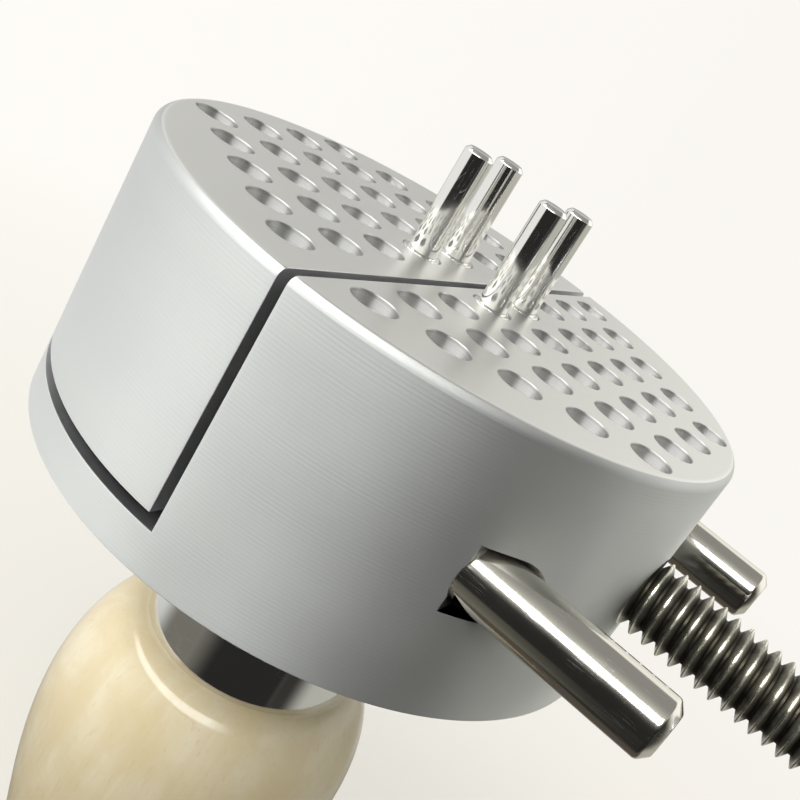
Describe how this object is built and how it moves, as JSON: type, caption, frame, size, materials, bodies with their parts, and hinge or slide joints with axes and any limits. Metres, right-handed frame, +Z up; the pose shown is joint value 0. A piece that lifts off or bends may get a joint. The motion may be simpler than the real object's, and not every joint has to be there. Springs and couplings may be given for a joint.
{
  "type": "hand vise",
  "caption": "Hand vise: round split head with a grid of pin holes, lift-out work pins, guide rods and a lead screw with knob, on a turned wooden handle.",
  "frame": {"origin": "in the flat work face, midway between the first rows of holes of the two jaws, with the four work pins around it", "axes": "+Z up out of the work face, +X along the lead screw towards the knob, +Y along the split between the jaws"},
  "size_m": [0.0894, 0.0508, 0.1394],
  "materials": {
    "aluminium": "satin, finely turned",
    "polished_steel": "polished",
    "screw_steel": "machined",
    "knob_aluminium": "knurled, satin",
    "dark_steel": "plain",
    "wood": "clear gloss lacquer"
  },
  "bodies": {
    "base": {"fixed_jaw": "aluminium", "ferrule": "polished_steel", "plate_screws": "dark_steel", "handle_stud": "dark_steel", "handle": "wood"},
    "moving": {"moving_jaw": "aluminium", "guide_rod_front": "polished_steel", "guide_rod_rear": "polished_steel", "rod_set_screws": "dark_steel", "keeper_pins": "dark_steel"},
    "screw": {"lead_screw": "screw_steel", "screw_knob": "knob_aluminium", "knob_set_screw": "dark_steel"},
    "pin_moving_front": {"work_pin_moving_front": "polished_steel"},
    "pin_moving_rear": {"work_pin_moving_rear": "polished_steel"},
    "pin_fixed_front": {"work_pin_fixed_front": "polished_steel"},
    "pin_fixed_rear": {"work_pin_fixed_rear": "polished_steel"}
  },
  "joints": [
    {"name": "screw_turn", "type": "hinge", "parent": "moving", "child": "screw", "pos_m": [0.03, 0, -0.0111], "axis": [-1, 0, 0], "range_deg": [-181, 5581]},
    {"name": "jaw_slide", "type": "slide", "parent": "base", "child": "moving", "axis": [-1, 0, 0], "range_m": [-0.00064, 0.01969]},
    {"name": "pin_moving_front_lift", "type": "slide", "parent": "moving", "child": "pin_moving_front", "axis": [0, 0, 1], "range_m": [0, 0.016]},
    {"name": "pin_moving_rear_lift", "type": "slide", "parent": "moving", "child": "pin_moving_rear", "axis": [0, 0, 1], "range_m": [0, 0.016]},
    {"name": "pin_fixed_front_lift", "type": "slide", "parent": "base", "child": "pin_fixed_front", "axis": [0, 0, 1], "range_m": [0, 0.016]},
    {"name": "pin_fixed_rear_lift", "type": "slide", "parent": "base", "child": "pin_fixed_rear", "axis": [0, 0, 1], "range_m": [0, 0.016]}
  ],
  "couplings": [
    {"joint": "screw_turn", "follows": "jaw_slide", "rad_per_m": 4947.4}
  ]
}
